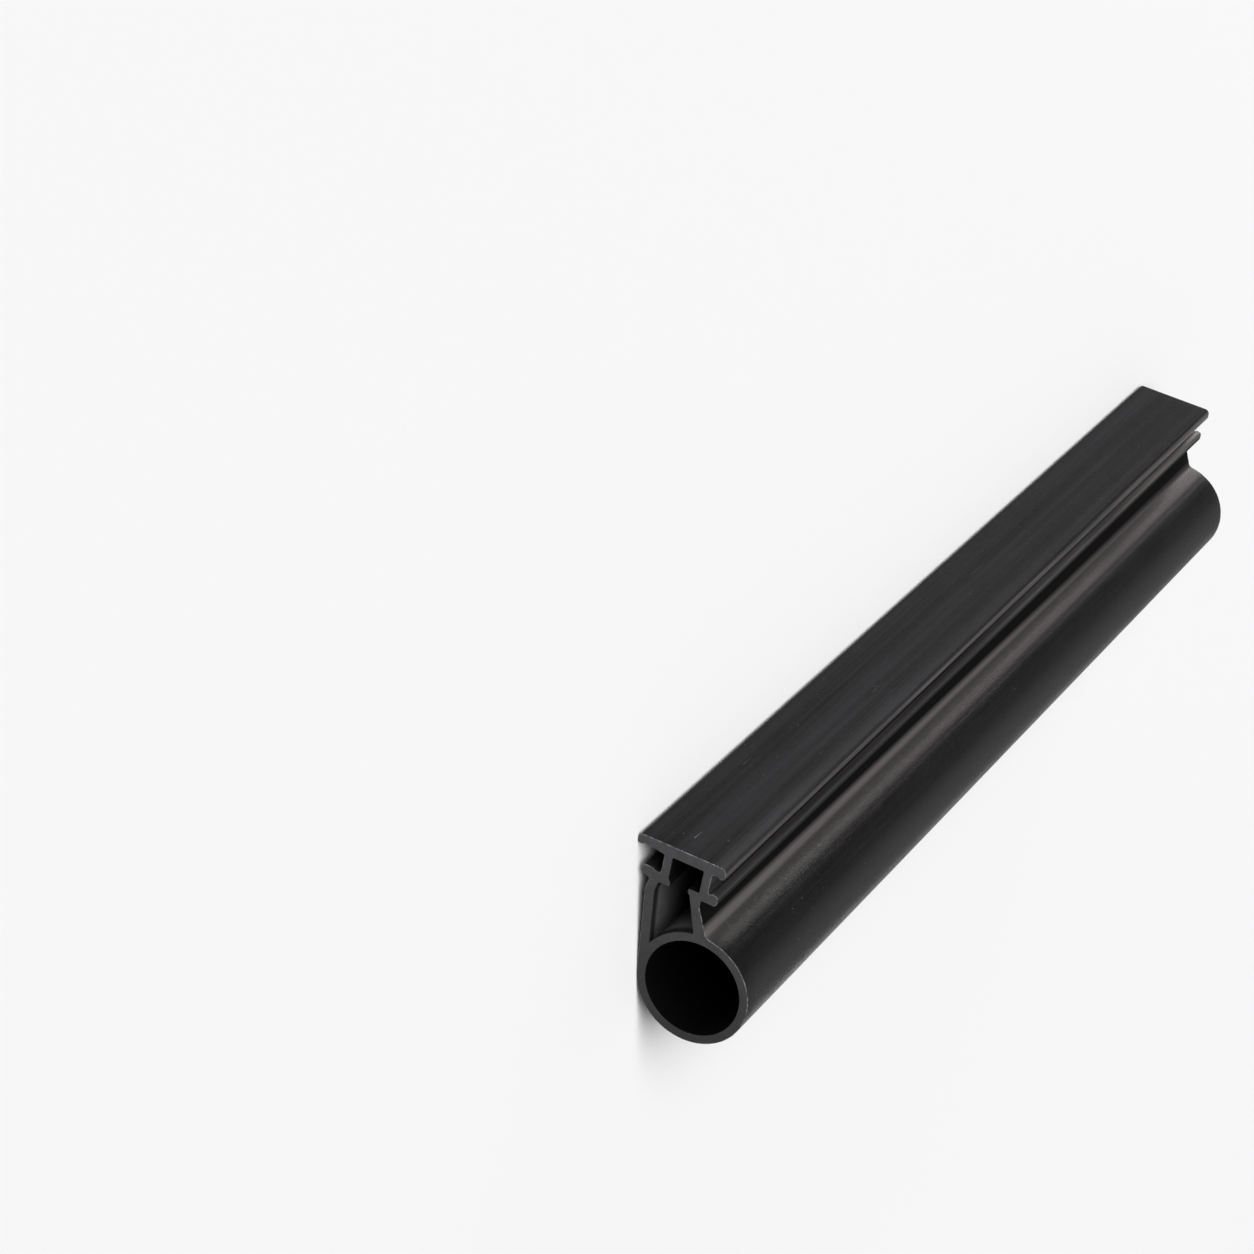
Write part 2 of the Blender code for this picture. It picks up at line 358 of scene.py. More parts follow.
class StripColours(bpy.types.PropertyGroup):
    """Colours of the dressed strip."""

    skin: FloatVectorProperty(
        name="Skin",
        description="Colour of the extruded skin",
        default=(0.0084, 0.0084, 0.0092, 1.0),
        size=4,
        subtype="COLOR",
        min=0.0,
        max=1.0,
    )
    cut: FloatVectorProperty(
        name="Cut face",
        description="Colour of the freshly cut rubber",
        default=(0.0283, 0.0283, 0.0302, 1.0),
        size=4,
        subtype="COLOR",
        min=0.0,
        max=1.0,
    )
    # Also the black of the painted shade under the right ledge and in the channel
    bore: FloatVectorProperty(
        name="Bore",
        description="Colour of the rubber inside the bulb",
        default=(0.0012, 0.0012, 0.0012, 1.0),
        size=4,
        subtype="COLOR",
        min=0.0,
        max=1.0,
    )
    # This pale grey is painted light inside the leg space
    cavity: FloatVectorProperty(
        name="Leg space",
        description="Colour of the rubber between the legs and in the channel",
        default=(0.090, 0.090, 0.092, 1.0),
        size=4,
        subtype="COLOR",
        min=0.0,
        max=1.0,
    )
    # Also the pale tone of the painted sheen on the flange's edge and of the painted highlight on the
    # knife's edge
    dust: FloatVectorProperty(
        name="Dust",
        description="Colour of scratches, specks and burrs",
        default=(0.16, 0.16, 0.165, 1.0),
        size=4,
        subtype="COLOR",
        min=0.0,
        max=1.0,
    )
    # This warm colour is also the painted highlight on the lip, the ramp and the leg's foot, and the
    # painted light in the slot
    foot: FloatVectorProperty(
        name="Foot",
        description="Colour of the warm dust along the foot of the right leg",
        default=(0.187, 0.171, 0.166, 1.0),
        size=4,
        subtype="COLOR",
        min=0.0,
        max=1.0,
    )
    floor: FloatVectorProperty(
        name="Floor",
        description="Colour of the studio floor",
        default=(0.90, 0.90, 0.90, 1.0),
        size=4,
        subtype="COLOR",
        min=0.0,
        max=1.0,
    )


def linked(thing):
    """Link an object to the scene, and give it back."""
    bpy.context.scene.collection.objects.link(thing)
    return thing


def node_loops(node):
    """The outlines of the node's near end as closed lists of points in the XZ plane."""
    shape = bmesh.new()
    shape.from_mesh(node.data)
    bmesh.ops.remove_doubles(shape, verts=shape.verts[:], dist=MERGE_DISTANCE)
    near = min(vert.co.y for vert in shape.verts) + MERGE_DISTANCE
    cap = {face for face in shape.faces if all(vert.co.y < near for vert in face.verts)}
    ahead = {}
    for face in cap:
        for loop in face.loops:
            if not cap.issuperset(loop.edge.link_faces):
                ahead[loop.vert.index] = loop.link_loop_next.vert.index
    shape.verts.ensure_lookup_table()
    spots = {index: (shape.verts[index].co.x, shape.verts[index].co.z) for index in ahead}
    shape.free()
    loops = []
    while ahead:
        index = next(iter(ahead))
        outline = []
        while index in ahead:
            outline.append(Vector(spots[index]))
            index = ahead.pop(index)
        loops.append(outline)
    return sorted(loops, key=lambda outline: -abs(signed_area(outline)))


def signed_area(outline):
    """The area inside the outline, above zero where it runs counterclockwise."""
    around = zip(outline, outline[1:] + outline[:1])
    return sum(a.x * b.y - b.x * a.y for a, b in around) / 2


def refined(outline, spacing):
    """The outline with its long sides cut into equal short ones."""
    points = []
    for first, second in zip(outline, outline[1:] + outline[:1]):
        count = max(1, round((second - first).length / spacing))
        points += [first.lerp(second, i / count) for i in range(count)]
    return points


def away_from_rubber(points, solid_on_left):
    """At each point, the direction in the XZ plane that leaves the rubber."""
    side = 1.0 if solid_on_left else -1.0
    ways = []
    for i, point in enumerate(points):
        along = (point - points[i - 1]).normalized()
        along += (points[(i + 1) % len(points)] - point).normalized()
        ways.append(Vector((along.y, -along.x)).normalized() * side)
    return ways


def section_coordinates(point):
    """How far a point of the section lies to the right of the bulb's centre, and up from it."""
    place = Vector((point.x, 0, point.y))
    return place.dot(SECTION_RIGHT) - BULB_RIGHT, place.dot(SECTION_UP) - BULB_UP


def on_flange_face(point, way):
    """Whether a point of the section lies on the flange's broad outer face."""
    height = Vector((point.x, 0, point.y)).dot(SECTION_UP)
    upright = Vector((way.x, 0, way.y)).dot(SECTION_UP)
    return height > FLANGE_LEVEL - FACE_DEPTH and upright > FACE_UPRIGHT


def in_leg_recess(point, way):
    """Whether a point of the section lies on the right leg's outer side, under the ledge."""
    right, up = section_coordinates(point)
    faces_right = Vector((way.x, 0, way.y)).dot(SECTION_RIGHT) > RECESS_SIDEWAYS
    inside = RECESS_RIGHT[0] < right < RECESS_RIGHT[1] and RECESS_UP[0] < up < RECESS_UP[1]
    return faces_right and inside


def stations(sizes):
    """The rings along the strip: (place along Y, how far the cut edge's rounding draws it in)."""
    radius = sizes.edge_round
    start = NEAR_END + sizes.end_inset
    end = FAR_END - sizes.end_inset
    turns = [pi / 2 * i / EDGE_STEPS for i in range(EDGE_STEPS + 1)]
    rings = [(start + radius * (1 - cos(turn)), radius * (1 - sin(turn))) for turn in turns]
    count = round((end - start - 2 * radius) / sizes.station)
    inner = [start + radius + (end - start - 2 * radius) * i / count for i in range(1, count)]
    far = [(start + end - y, inset) for y, inset in reversed(rings)]
    return rings + [(y, 0.0) for y in inner] + far


def ramped(point):
    """The outline's point, raised to the flat ramp that joins the bulb to the right leg's foot."""
    right, up = section_coordinates(point)
    start = BULB_RADIUS * cos(RAMP_START)
    if not RAMP_END < right < start or up < RAMP_LOWEST:
        return point
    ramp = BULB_RADIUS * sin(RAMP_START) + (start - right) / tan(RAMP_START)
    place = Vector((point.x, 0, point.y)) + SECTION_UP * max(0.0, ramp - up)
    return Vector((place.x, place.z))


def skin_depth(x, y, z, travelled, sizes):
    """How far the rubber's skin lies inside the die's outline at this place."""
    across, lengthwise = HOLLOW_PACE
    slow = noise.noise(Vector((x * across, y * lengthwise, z * across)))
    around, lengthwise = DIE_LINE_PACE
    line = noise.noise(Vector((travelled * around, y * lengthwise, DIE_LINE_SEED)))
    hollow = sizes.waviness * (0.5 + 0.5 * slow)
    return hollow + sizes.die_line * max(0.0, line) ** 2 * DIE_LINE_GAIN


def travelled_lengths(points):
    """How far each point lies along the outline."""
    travelled = 0.0
    lengths = []
    for first, second in zip(points, points[1:] + points[:1]):
        lengths.append(travelled)
        travelled += (second - first).length
    return lengths


def wall_finishes(points, ways, number):
    """The finish of each step of an outline, from its point to the next."""
    face = [on_flange_face(point, way) for point, way in zip(points, ways)]
    recess = [number == 0 and in_leg_recess(point, way) for point, way in zip(points, ways)]
    finishes = []
    for i in range(len(points)):
        j = (i + 1) % len(points)
        if face[i] and face[j]:
            finishes.append(FACE)
        elif recess[i] and recess[j]:
            finishes.append(RECESS)
        else:
            finishes.append(WALLS[number])
    return finishes


def ring_edges(shape, row):
    """The edges between the neighbours of a closed row of points."""
    return [shape.edges.get((first, second)) for first, second in zip(row, row[1:] + row[:1])]


def add_wall(shape, outline, number, sizes):
    """Add one outline's wall to the shape, and give back its edges at the near and the far end."""
    points = refined(outline, sizes.spacing * (1 if number == 0 else HOLE_COARSENESS))
    if number == 0:
        points = [ramped(point) for point in points]
    solid_on_left = (signed_area(points) > 0) == (number == 0)
    ways = away_from_rubber(points, solid_on_left)
    lengths = travelled_lengths(points)
    rows = []
    for y, inset in stations(sizes):
        row = []
        for point, way, travelled in zip(points, ways, lengths):
            spot = point - way * (inset + skin_depth(point.x, y, point.y, travelled, sizes))
            row.append(shape.verts.new((spot.x, y, spot.y)))
        rows.append(row)
    finishes = wall_finishes(points, ways, number)
    cut_edge = RIM if number == 0 else CUT
    for place, (row, after) in enumerate(zip(rows, rows[1:])):
        on_cut_edge = place < EDGE_STEPS or place >= len(rows) - 1 - EDGE_STEPS
        for i, finish in enumerate(finishes):
            j = (i + 1) % len(row)
            face = shape.faces.new((row[i], row[j], after[j], after[i]))
            face.material_index = cut_edge if on_cut_edge else finish
    shape.edges.ensure_lookup_table()
    return [ring_edges(shape, rows[0]), ring_edges(shape, rows[-1])]


def build_strip(sizes):
    """The strip as one closed mesh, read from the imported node's outlines."""
    shape = bmesh.new()
    near_edges = []
    far_edges = []
    for number, outline in enumerate(node_loops(frame["nodes"][NODE])):
        near, far = add_wall(shape, outline, number, sizes)
        near_edges += near
        far_edges += far
    for face in shape.faces:
        face.smooth = True
    for edges in (near_edges, far_edges):
        caps = bmesh.ops.triangle_fill(shape, edges=edges, use_beauty=True)["geom"]
        for part in caps:
            if isinstance(part, bmesh.types.BMFace):
                part.material_index = CUT
                part.smooth = True
        for edge in edges:
            edge.smooth = False
    bmesh.ops.recalc_face_normals(shape, faces=shape.faces[:])
    mesh = bpy.data.meshes.new("strip")
    shape.to_mesh(mesh)
    shape.free()
    return linked(bpy.data.objects.new("strip", mesh))


class Wires:
    """A material's node tree, with short ways to add and join its nodes."""

    def __init__(self, name):
        self.material = bpy.data.materials.new(name)
        self.material.use_nodes = True
        self.tree = self.material.node_tree
        self.shader = self.tree.nodes["Principled BSDF"]

    def add(self, kind, **settings):
        node = self.tree.nodes.new(kind)
        for name, value in settings.items():
            setattr(node, name, value)
        return node

    def join(self, source, target):
        """Link a socket to the target, or set the target to a value."""
        if isinstance(source, bpy.types.NodeSocket):
            self.tree.links.new(source, target)
        else:
            target.default_value = source

    def math(self, operation, first, second=0.0):
        node = self.add("ShaderNodeMath", operation=operation)
        self.join(first, node.inputs[0])
        self.join(second, node.inputs[1])
        return node.outputs[0]

    def product(self, first, *others):
        """All the values multiplied."""
        for other in others:
            first = self.math("MULTIPLY", first, other)
        return first

    def summed(self, values, shares):
        """The sum of the values, each times its share."""
        total = 0.0
        for value, share in zip(values, shares):
            total = self.math("ADD", total, self.math("MULTIPLY", value, share))
        return total

    def place(self, scale=EVEN):
        """Object coordinates, stretched by scale."""
        coordinates = self.add("ShaderNodeTexCoord").outputs["Object"]
        mapping = self.add("ShaderNodeMapping")
        mapping.inputs["Scale"].default_value = scale
        self.join(coordinates, mapping.inputs["Vector"])
        return mapping.outputs["Vector"]

    def dot(self, vector, direction):
        node = self.add("ShaderNodeVectorMath", operation="DOT_PRODUCT")
        self.join(vector, node.inputs[0])
        self.join(tuple(direction), node.inputs[1])
        return node.outputs["Value"]

    def pattern(self, pattern):
        """The noise of a named pattern."""
        node = self.add("ShaderNodeTexNoise")
        self.join(self.place(pattern.stretch), node.inputs["Vector"])
        node.inputs["Scale"].default_value = pattern.scale
        node.inputs["Detail"].default_value = pattern.detail
        node.inputs["Roughness"].default_value = pattern.roughness
        return node.outputs["Fac"]

    def spotted(self, colour, spots, dust):
        """The colour with small round spots of dust, strewn at random."""
        node = self.add("ShaderNodeTexVoronoi")
        node.inputs["Scale"].default_value = spots.scale
        self.join(self.place(), node.inputs["Vector"])
        inside = self.ranged(node.outputs["Distance"], spots.size * SPOT_CORE, spots.size, 1.0, 0.0)
        return self.mix(self.math("MULTIPLY", inside, spots.dust), colour, tuple(dust))

    def ranged(self, value, low, high, to_low=0.0, to_high=1.0):
        """The value moved from the range low to high into the range to_low to to_high, and kept in it."""
        node = self.add("ShaderNodeMapRange", clamp=True)
        self.join(value, node.inputs["Value"])
        node.inputs["From Min"].default_value = low
        node.inputs["From Max"].default_value = high
        node.inputs["To Min"].default_value = to_low
        node.inputs["To Max"].default_value = to_high
        return node.outputs["Result"]

    def above(self, value, base, border):
        """0 under the soft border and 1 over it; the border's ends are given from a base."""
        return self.ranged(value, base + border[0], base + border[1])

    def below(self, value, base, border):
        """1 under the soft border and 0 over it; the border's ends are given from a base."""
        return self.ranged(value, base + border[0], base + border[1], 1.0, 0.0)

    def mix(self, factor, first, second):
        """The first colour where the factor is 0, and the second where it is 1."""
        node = self.add("ShaderNodeMix", data_type="RGBA")
        self.join(factor, node.inputs[0])
        self.join(first, node.inputs[6])
        self.join(second, node.inputs[7])
        return node.outputs[2]

    def scaled(self, colour, factor):
        node = self.add("ShaderNodeVectorMath", operation="SCALE")
        self.join(colour, node.inputs[0])
        self.join(factor, node.inputs["Scale"])
        return node.outputs["Vector"]

    def swung(self, factor, colour, swing):
        """The colour, darker by the swing where the factor is 0 and lighter by it where it is 1."""
        return self.mix(factor, shade(colour, 1 - swing), shade(colour, 1 + swing))

    def bump(self, height, distance, strength=1.0, under=None):
        """The normal over a relief, which may lie on another one."""
        node = self.add("ShaderNodeBump")
        node.inputs["Strength"].default_value = strength
        node.inputs["Distance"].default_value = distance
        self.join(height, node.inputs["Height"])
        if under is not None:
            self.join(under, node.inputs["Normal"])
        return node.outputs["Normal"]


def shade(colour, factor):
    """The colour made darker or lighter."""
    return (*(channel * factor for channel in colour[:3]), 1.0)


def mark(wires, plain, start, end, width, level):
    """1 along a straight scratch from start to end, (to the right, along the strip) in mm, on one level."""
    first = Vector(start) * MM
    reach = Vector(end) * MM - first
    along = reach.normalized()
    across = Vector((along.y, -along.x))
    middle = FLANGE_CENTRE.dot(SECTION_RIGHT)
    right = wires.math("SUBTRACT", wires.dot(plain, SECTION_RIGHT), middle + first.x)
    forward = wires.math("SUBTRACT", wires.dot(plain, ALONG), NEAR_END + first.y)
    off_line = wires.math("ABSOLUTE", wires.summed((right, forward), across))
    line = wires.ranged(off_line, width * MM * MARK_CORE, width * MM, 1.0, 0.0)
    travelled = wires.summed((right, forward), along)
    starts = wires.ranged(travelled, 0.0, width * MM)
    fades = wires.ranged(travelled, reach.length * MARK_HEAD, reach.length, 1.0, 0.0)
    off_level = wires.math("ABSOLUTE", wires.math("SUBTRACT", wires.dot(plain, SECTION_UP), level))
    return wires.product(line, starts, fades, wires.below(off_level, 0.0, MARK_DEPTH))


def zoned(wires, plain, colour, fine_lines, colours):
    """The skin's colour with painted shade along the leg, a lip pale from wear and a painted highlight, a
    painted highlight on the ramp, dust and painted light in the slot, and a painted sheen on the flange's
    edge; and the leg's zone by itself.
    """
    height = wires.dot(plain, SECTION_UP)
    rightwards = wires.dot(plain, SECTION_RIGHT)
    along = wires.dot(plain, ALONG)
    # The zone along the leg, where painted shade darkens the skin
    leg = wires.product(
        wires.above(height, FLANGE_LEVEL, LEG_FROM),
        wires.below(height, FLANGE_LEVEL, LEG_TO),
    )
    colour = wires.scaled(colour, wires.ranged(leg, 0.0, 1.0, 1.0, LEG_SHADE))
    spread = wires.ranged(along, *LIP_SPREAD)
    # Paler lip: wear and a painted highlight, growing towards the far end as painted light
    lip_wear_and_sheen = wires.product(
        wires.above(wires.math("ADD", rightwards, spread), BULB_RIGHT, LIP_RIGHT),
        wires.above(height, FLANGE_LEVEL, LIP_FROM),
        wires.below(wires.math("SUBTRACT", height, spread), FLANGE_LEVEL, LIP_TO),
        wires.ranged(fine_lines, *SHARP, *LIP_LINES),
        wires.ranged(along, *LIP_WEAR_AND_SHEEN),
    )
    colour = wires.mix(lip_wear_and_sheen, colour, tuple(colours.foot))
    # Painted highlight on the ramp, where it meets the right leg
    ramp = wires.product(
        wires.below(rightwards, BULB_RIGHT, RAMP_RIGHT),
        wires.above(height, BULB_UP, RAMP_FROM),
        wires.below(height, BULB_UP, RAMP_TO),
        RAMP_HIGHLIGHT,
    )
    colour = wires.mix(ramp, colour, tuple(colours.foot))
    # Dust and painted light in the slot, stronger towards the far end
    slot = wires.product(
        wires.above(height, FLANGE_LEVEL, LEG_TO),
        wires.below(height, FLANGE_LEVEL, SLOT_TO),
        wires.above(rightwards, BULB_RIGHT, SLOT_RIGHT),
        wires.ranged(fine_lines, *SHARP, *SLOT_LINES),
        wires.ranged(along, *SLOT_DUST_AND_LIGHT),
    )
    colour = wires.mix(slot, colour, tuple(colours.foot))
    # Painted sheen on the flange's right edge, near the cut
    edge = wires.product(
        wires.above(rightwards, BULB_RIGHT, EDGE_RIGHT),
        wires.above(height, FLANGE_LEVEL, EDGE_FROM),
        wires.ranged(along, *EDGE_SHEEN),
    )
    return wires.mix(edge, colour, tuple(colours.dust)), leg


def extruded_rubber(finish, colours):
    """Satin rubber with long lines, smudges, painted shade and highlights, a fine grain, cross strokes,
    specks and scratches.
    """
    wires = Wires(finish.name)
    plain = wires.place()
    broad_lines = wires.pattern(BROAD_LINES)
    fine_lines = wires.pattern(FINE_LINES)
    patterns = (broad_lines, fine_lines, wires.pattern(SMUDGES))
    tone = wires.ranged(wires.summed(patterns, TONE_SHARES), *CLEAR)
    dark = shade(colours.skin, finish.tint * (1 - finish.streaks))
    light = shade(colours.skin, finish.tint * (1 + finish.streaks * LIGHT_SWING))
    colour = wires.mix(tone, dark, light)
    colour, leg = zoned(wires, plain, colour, fine_lines, colours)
    colour = wires.spotted(colour, SPECKS, colours.dust)
    colour = wires.spotted(colour, FINE_SPECKS, colours.dust)
    cuts = 0.0
    for start, end, width, strength in finish.marks:
        scratch = wires.math("MULTIPLY", mark(wires, plain, start, end, width, finish.level), strength)
        colour = wires.mix(scratch, colour, tuple(colours.dust))
        cuts = wires.math("MAXIMUM", scratch, cuts)
    wires.join(colour, wires.shader.inputs["Base Color"])
    strokes = wires.pattern(CROSS_STROKES)
    gloss = wires.ranged(wires.summed(patterns, GLOSS_SHARES), *CLEAR, *finish.matte)
    gloss = wires.math("ADD", gloss, wires.ranged(wires.dot(plain, ALONG), *DULLING))
    gloss = wires.math("ADD", gloss, wires.ranged(strokes, *MEDIUM, *STROKE_GLOSS))
    wires.join(wires.summed((gloss, leg), (1.0, LEG_DULLING)), wires.shader.inputs["Roughness"])
    wires.shader.inputs["Specular IOR Level"].default_value = finish.specular
    relief = wires.bump(fine_lines, *FINE_RELIEF)
    relief = wires.bump(broad_lines, BROAD_RELIEF_DEPTH, finish.streaks ** 2, relief)
    relief = wires.bump(wires.pattern(SKIN_GRAIN), *GRAIN_RELIEF, relief)
    relief = wires.bump(strokes, *STROKE_RELIEF, relief)
    wires.join(wires.bump(cuts, *SCRATCH_RELIEF, relief), wires.shader.inputs["Normal"])
    return wires.material


def cut_rubber(colours):
    """Matte rubber where the knife went through, with painted shading lighter towards the flange, a fine
    grain and pits.
    """
    wires = Wires("cut_rubber_face")
    grain = wires.pattern(CUT_GRAIN)
    blotches = wires.ranged(wires.pattern(CUT_BLOTCHES), *FAINT)
    height = wires.dot(wires.place(), SECTION_UP)
    # Painted shading: the cut face is darker low down and lighter towards the flange
    painted_shading = wires.ranged(height, FLANGE_LEVEL - SECTION_HEIGHT, FLANGE_LEVEL, *CUT_TONES)
    colour = wires.scaled(wires.swung(blotches, colours.cut, CUT_SWING), painted_shading)
    colour = wires.spotted(colour, CUT_PITS, colours.dust)
    wires.join(colour, wires.shader.inputs["Base Color"])
    wires.join(wires.ranged(grain, *FAINT, *CUT_MATTE), wires.shader.inputs["Roughness"])
    wires.join(wires.bump(grain, *CUT_RELIEF), wires.shader.inputs["Normal"])
    return wires.material


def cut_rim(colours):
    """The knife's edge: thin, and pale where the rubber is frayed, with a painted highlight."""
    wires = Wires("cut_rim_rubber")
    frayed_and_glint = wires.ranged(wires.pattern(FRAY), *FRAYED_AND_GLINT)
    # The pale tone is frayed rubber and a painted highlight along the edge
    colour = wires.mix(frayed_and_glint, shade(colours.cut, RIM_TONES[0]), shade(colours.dust, RIM_TONES[1]))
    wires.join(colour, wires.shader.inputs["Base Color"])
    wires.join(wires.ranged(frayed_and_glint, 0.0, 1.0, *RIM_MATTE), wires.shader.inputs["Roughness"])
    return wires.material


def lined_rubber(finish):
    """Dull rubber with fine lines along the strip, without its colour: its wires, and the lines."""
    wires = Wires(finish.name)
    lines = wires.pattern(INNER_LINES)
    wires.join(wires.ranged(lines, *FAINT, *finish.matte), wires.shader.inputs["Roughness"])
    wires.join(wires.bump(lines, *INNER_RELIEF), wires.shader.inputs["Normal"])
    wires.shader.inputs["Specular IOR Level"].default_value = finish.specular
    return wires, lines


def recess_rubber(colours):
    """Painted shade under the right ledge, black, with a painted highlight along the leg's foot."""
    wires, lines = lined_rubber(RECESS_FINISH)
    plain = wires.place()
    along = wires.dot(plain, ALONG)
    level = wires.math("SUBTRACT", wires.dot(plain, SECTION_UP), wires.ranged(along, *FOOT_REACH))
    # Painted highlight: a warm pale band along the leg's foot, reaching higher near the cut
    painted_light = wires.product(
        wires.below(level, BULB_TOP, FOOT_FADE),
        wires.ranged(lines, *FAINT, *FOOT_LINES),
        wires.ranged(along, *FOOT_HIGHLIGHT),
    )
    colour = wires.mix(painted_light, tuple(colours.bore), shade(colours.foot, FOOT_TONE))
    wires.join(colour, wires.shader.inputs["Base Color"])
    return wires.material


def bore_rubber(colours):
    """Dull black rubber inside the bulb."""
    wires, lines = lined_rubber(BORE_FINISH)
    colour = wires.swung(wires.ranged(lines, *FAINT), colours.bore, BORE_SWING)
    wires.join(colour, wires.shader.inputs["Base Color"])
    return wires.material


def leg_space_rubber(colours):
    """Painted shade and light: black in the channel, and a paler grey of painted light between the legs
    below it, dark in the first few mm from the cut.
    """
    wires, lines = lined_rubber(LEG_SPACE_FINISH)
    plain = wires.place()
    tone = wires.summed((lines, wires.pattern(INNER_SMUDGES)), LEG_SPACE_SHARES)
    leg_space_light_tone = wires.swung(wires.ranged(tone, *MEDIUM), colours.cavity, LEG_SPACE_SWING)
    # Painted light: the leg space is dark near the cut and grey deeper in
    leg_space_light_tone = wires.scaled(leg_space_light_tone, wires.ranged(wires.dot(plain, ALONG), *LEG_SPACE_LIGHT))
    # Painted shade above the ledge, painted light below it
    painted_light = wires.below(wires.dot(plain, SECTION_UP), LEDGE_LEVEL, LEDGE_FADE)
    wires.join(wires.mix(painted_light, tuple(colours.bore), leg_space_light_tone), wires.shader.inputs["Base Color"])
    return wires.material


def burr_rubber(colours):
    """Pale torn crumbs of rubber."""
    wires = Wires("torn_rubber_crumb")
    tone = wires.ranged(wires.pattern(CRUMB_GRAIN), *FAINT)
    colour = wires.mix(tone, shade(colours.dust, CRUMB_TONES[0]), shade(colours.dust, CRUMB_TONES[1]))
    wires.join(colour, wires.shader.inputs["Base Color"])
    wires.shader.inputs["Roughness"].default_value = CRUMB_MATTE
    return wires.material


def studio_white(colours):
    """The dull white of the studio's floor."""
    wires = Wires("studio_floor")
    wires.shader.inputs["Base Color"].default_value = tuple(colours.floor)
    wires.shader.inputs["Roughness"].default_value = FLOOR_MATTE
    wires.shader.inputs["Specular IOR Level"].default_value = FLOOR_SPECULAR
    return wires.material


def studio_air(colours):
    """Dim light from the flange's side, brighter light from the bulb's side, and a white backdrop."""
    world = bpy.data.worlds.new("studio")
    world.use_nodes = True
    tree = world.node_tree
    sky = tree.nodes["Background"]
    direction = tree.nodes.new("ShaderNodeTexCoord").outputs["Generated"]
    split = tree.nodes.new("ShaderNodeSeparateXYZ")
    tree.links.new(direction, split.inputs[0])
    # The ramp runs from 0 to 1, and the direction from -1 to 1
    shifted = tree.nodes.new("ShaderNodeMath")
    shifted.operation = "MULTIPLY_ADD"
    shifted.inputs[1].default_value = 0.5
    shifted.inputs[2].default_value = 0.5
    tree.links.new(split.outputs["X"], shifted.inputs[0])
    ramp = tree.nodes.new("ShaderNodeValToRGB").color_ramp
    tree.links.new(shifted.outputs[0], tree.nodes["Color Ramp"].inputs["Fac"])
    for place, level in SKY_LEVELS:
        stop = ramp.elements.new((place + 1) / 2)
        stop.color = (level, level, level, 1.0)
    ramp.elements.remove(ramp.elements[0])
    ramp.elements.remove(ramp.elements[-1])
    tree.links.new(tree.nodes["Color Ramp"].outputs["Color"], sky.inputs["Color"])
    backdrop = tree.nodes.new("ShaderNodeBackground")
    backdrop.inputs["Color"].default_value = tuple(colours.floor)
    seen = tree.nodes.new("ShaderNodeLightPath").outputs["Is Camera Ray"]
    mix = tree.nodes.new("ShaderNodeMixShader")
    tree.links.new(seen, mix.inputs[0])
    tree.links.new(sky.outputs[0], mix.inputs[1])
    tree.links.new(backdrop.outputs[0], mix.inputs[2])
    tree.links.new(mix.outputs[0], tree.nodes["World Output"].inputs["Surface"])
    return world


class WEATHERSTRIP_OT_strip(bpy.types.Operator):
    """Build the extruded strip with its skin and cut ends"""

    bl_idname = "weatherstrip.strip"
    bl_label = "Extruded strip"

    def execute(self, context):
        sizes = context.scene.weatherstrip_sizes
        colours = context.scene.weatherstrip_colours
        strip = build_strip(sizes)
        finishes = {
            SKIN: extruded_rubber(SKIN_FINISH, colours),
            FACE: extruded_rubber(FACE_FINISH, colours),
            RECESS: recess_rubber(colours),
            CUT: cut_rubber(colours),
            RIM: cut_rim(colours),
            BORE: bore_rubber(colours),
            CAVITY: leg_space_rubber(colours),
        }
        for number in sorted(finishes):
            strip.data.materials.append(finishes[number])
        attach(strip, BODY)
        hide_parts(NODE)
        return {"FINISHED"}


def section_place(right, along, up):
    """A point given in mm: right and up from the middle of the flange's face, and in from the near end."""
    flat = FLANGE_CENTRE + SECTION_RIGHT * right * MM + SECTION_UP * up * MM
    return Vector((flat.x, NEAR_END + along * MM, flat.z))


def build_burrs():
    """The crumbs as one mesh of small rough closed bodies."""
    shape = bmesh.new()
    for number, (right, along, up, length) in enumerate(BURRS):
        made = bmesh.ops.create_icosphere(shape, subdivisions=BURR_DETAIL, radius=length * MM / 2)["verts"]
        for vert in made:
            rough = noise.noise(vert.co * BURR_PACE + Vector((number * BURR_SEED, 0, 0)))
            vert.co *= 1 + BURR_ROUGHNESS * rough
            flat = vert.co.copy()
            vert.co = SECTION_RIGHT * flat.x + SECTION_UP * flat.z * BURR_HEIGHT
            vert.co += ALONG * (flat.y * BURR_DEPTH)
            vert.co += section_place(right, along, up)
    bmesh.ops.recalc_face_normals(shape, faces=shape.faces[:])
    for face in shape.faces:
        face.smooth = True
    mesh = bpy.data.meshes.new("cut_burrs")
    shape.to_mesh(mesh)
    shape.free()
    return linked(bpy.data.objects.new("cut_burrs", mesh))


class WEATHERSTRIP_OT_burrs(bpy.types.Operator):
    """Leave the small torn crumbs along the near end's cut edge"""

    bl_idname = "weatherstrip.burrs"
    bl_label = "Cut burrs"

    def execute(self, context):
        burrs = build_burrs()
        burrs.data.materials.append(burr_rubber(context.scene.weatherstrip_colours))
        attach(burrs, BODY)
        return {"FINISHED"}


def away_from_strip(direction):
    """The unit vector of a direction given to the right, along the strip and up."""
    right, forward, up = direction
    return (SECTION_RIGHT * right + ALONG * forward + SECTION_UP * up).normalized()


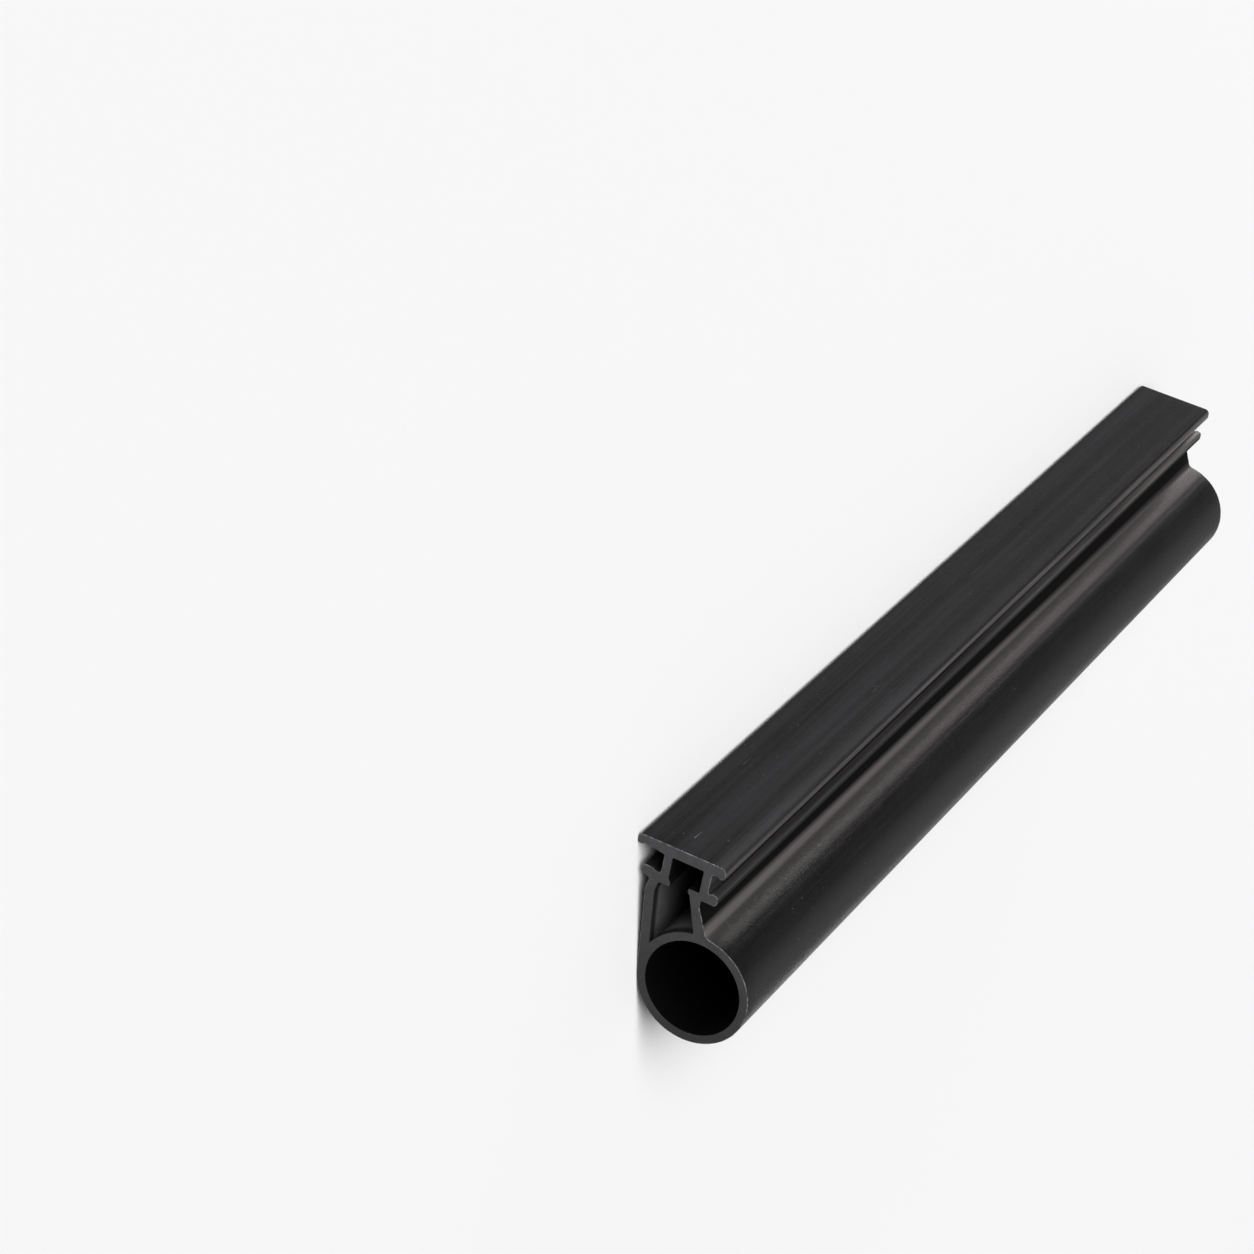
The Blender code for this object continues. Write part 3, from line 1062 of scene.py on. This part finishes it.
def area_light(name, direction, distance, size, power, colour):
    """A rectangle of light that faces the strip, with its long side along it."""
    light = bpy.data.lights.new(name, "AREA")
    light.shape = "RECTANGLE"
    light.size, light.size_y = size
    light.energy = power
    light.color = colour
    lamp = linked(bpy.data.objects.new(name, light))
    away = away_from_strip(direction)
    along = ALONG.cross(away).cross(away).normalized()
    turned = Matrix((along, away.cross(along), away)).transposed()
    lamp.matrix_world = Matrix.Translation(away * distance) @ turned.to_4x4()
    lamp.visible_camera = False


def sun_light(name, direction, strength, angle):
    """A broad sun that shines onto the strip from a direction."""
    light = bpy.data.lights.new(name, "SUN")
    light.energy = strength
    light.angle = angle
    lamp = linked(bpy.data.objects.new(name, light))
    lamp.rotation_mode = "QUATERNION"
    lamp.rotation_quaternion = away_from_strip(direction).to_track_quat("Z", "Y")


class WEATHERSTRIP_OT_stage(bpy.types.Operator):
    """Lay the floor and set the lights and the camera"""

    bl_idname = "weatherstrip.stage"
    bl_label = "Studio"

    def execute(self, context):
        colours = context.scene.weatherstrip_colours
        scene = context.scene
        shape = bmesh.new()
        bmesh.ops.create_circle(shape, cap_ends=True, radius=FLOOR_RADIUS, segments=FLOOR_SIDES)
        mesh = bpy.data.meshes.new("floor")
        shape.to_mesh(mesh)
        shape.free()
        floor = linked(bpy.data.objects.new("floor", mesh))
        floor.data.materials.append(studio_white(colours))
        sun_light("front_light", SUN_DIRECTION, SUN_STRENGTH, SUN_ANGLE)
        area_light("back_panel", PANEL_DIRECTION, PANEL_DISTANCE, PANEL_SIZE, PANEL_POWER, PANEL_COLOUR)
        scene.world = studio_air(colours)
        scene.view_settings.view_transform = "Standard"
        lens = bpy.data.cameras.new("camera")
        lens.lens = CAMERA_LENS
        lens.sensor_width = CAMERA_SENSOR
        camera = linked(bpy.data.objects.new("camera", lens))
        back = -CAMERA_LOOK.normalized()
        side = CAMERA_TOP.cross(back).normalized()
        top = back.cross(side)
        turned = Matrix((side, top, back)).transposed()
        camera.matrix_world = Matrix.Translation(CAMERA_PLACE) @ turned.to_4x4()
        lens.clip_start, lens.clip_end = CAMERA_CLIP
        scene.camera = camera
        return {"FINISHED"}


class WEATHERSTRIP_PT_panel(bpy.types.Panel):
    """Lists the strip's pieces and the studio"""

    bl_idname = "WEATHERSTRIP_PT_panel"
    bl_label = "Weatherstrip"
    bl_space_type = "VIEW_3D"
    bl_region_type = "UI"
    bl_category = "Weatherstrip"

    def draw(self, context):
        for operator in OPERATORS:
            self.layout.operator(operator.bl_idname)
        for group in (context.scene.weatherstrip_sizes, context.scene.weatherstrip_colours):
            box = self.layout.box()
            for name in group.__annotations__:
                box.prop(group, name)


OPERATORS = (WEATHERSTRIP_OT_strip, WEATHERSTRIP_OT_burrs, WEATHERSTRIP_OT_stage)
CLASSES = (StripSizes, StripColours, *OPERATORS, WEATHERSTRIP_PT_panel)


def register():
    for item in CLASSES:
        bpy.utils.register_class(item)
    bpy.types.Scene.weatherstrip_sizes = PointerProperty(type=StripSizes)
    bpy.types.Scene.weatherstrip_colours = PointerProperty(type=StripColours)


def unregister():
    del bpy.types.Scene.weatherstrip_colours
    del bpy.types.Scene.weatherstrip_sizes
    for item in reversed(CLASSES):
        bpy.utils.unregister_class(item)


def main():
    """Build the strip, its burrs and the studio."""
    register()
    bpy.ops.weatherstrip.strip()
    bpy.ops.weatherstrip.burrs()
    bpy.ops.weatherstrip.stage()


if __name__ == "__main__":
    main()
